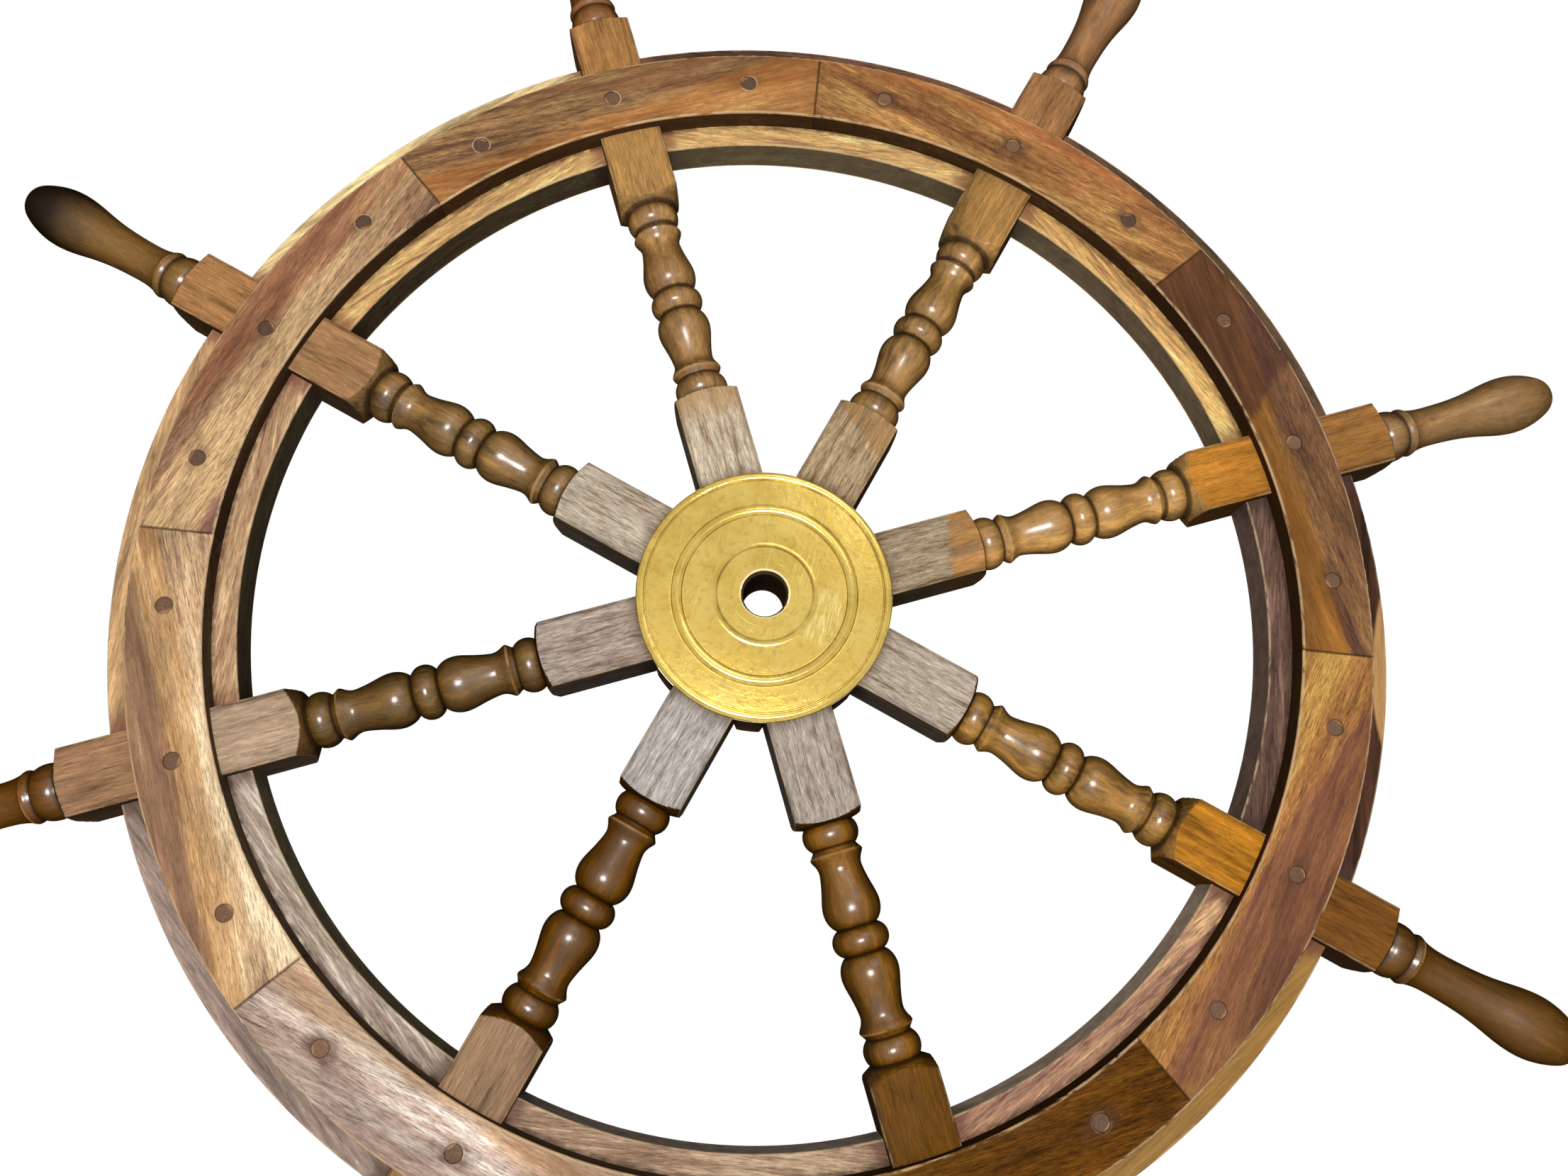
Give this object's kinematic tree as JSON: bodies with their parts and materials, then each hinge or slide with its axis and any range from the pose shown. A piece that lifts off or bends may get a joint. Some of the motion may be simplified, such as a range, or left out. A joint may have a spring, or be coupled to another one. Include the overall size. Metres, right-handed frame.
{
  "type": "ship steering wheel",
  "caption": "Traditional wooden ship steering wheel: turned spokes run through a built-up segmented rim into handles, with a brass-faced bored hub.",
  "frame": {"origin": "wheel centre: on the hub bore's axis, midway through the rim's thickness", "axes": "+Y along the bore axis towards the back of the wheel, so the front faces -Y; +Z along the king spoke; +X to the right seen from the front"},
  "size_m": [0.9144, 0.046, 0.9144],
  "materials": {
    "spoke_wood": "rubbed varnish, gloss on the turnings, worn dull on the square blocks",
    "front_ring_wood": "worn satin varnish",
    "back_ring_wood": "worn satin varnish",
    "felloe_wood": "satin varnish",
    "hub_wedge_wood": "dull, dark with old polish",
    "dowel_wood": "end grain, dark with old polish",
    "hub_brass": "turned, scratched satin"
  },
  "bodies": {
    "root": {"spoke_1": "spoke_wood", "front_ring_1": "front_ring_wood", "back_ring_1": "back_ring_wood", "felloe_1": "felloe_wood", "hub_wedge_1": "hub_wedge_wood", "spoke_2": "spoke_wood", "front_ring_2": "front_ring_wood", "back_ring_2": "back_ring_wood", "felloe_2": "felloe_wood", "hub_wedge_2": "hub_wedge_wood", "spoke_3": "spoke_wood", "front_ring_3": "front_ring_wood", "back_ring_3": "back_ring_wood", "felloe_3": "felloe_wood", "hub_wedge_3": "hub_wedge_wood", "spoke_4": "spoke_wood", "front_ring_4": "front_ring_wood", "back_ring_4": "back_ring_wood", "felloe_4": "felloe_wood", "hub_wedge_4": "hub_wedge_wood", "spoke_5": "spoke_wood", "front_ring_5": "front_ring_wood", "back_ring_5": "back_ring_wood", "felloe_5": "felloe_wood", "hub_wedge_5": "hub_wedge_wood", "spoke_6": "spoke_wood", "front_ring_6": "front_ring_wood", "back_ring_6": "back_ring_wood", "felloe_6": "felloe_wood", "hub_wedge_6": "hub_wedge_wood", "spoke_7": "spoke_wood", "front_ring_7": "front_ring_wood", "back_ring_7": "back_ring_wood", "felloe_7": "felloe_wood", "hub_wedge_7": "hub_wedge_wood", "spoke_8": "spoke_wood", "front_ring_8": "front_ring_wood", "back_ring_8": "back_ring_wood", "felloe_8": "felloe_wood", "hub_wedge_8": "hub_wedge_wood", "spoke_dowels": "dowel_wood", "felloe_dowels": "dowel_wood", "front_hub_plate": "hub_brass", "back_hub_plate": "hub_brass"}
  },
  "joints": []
}
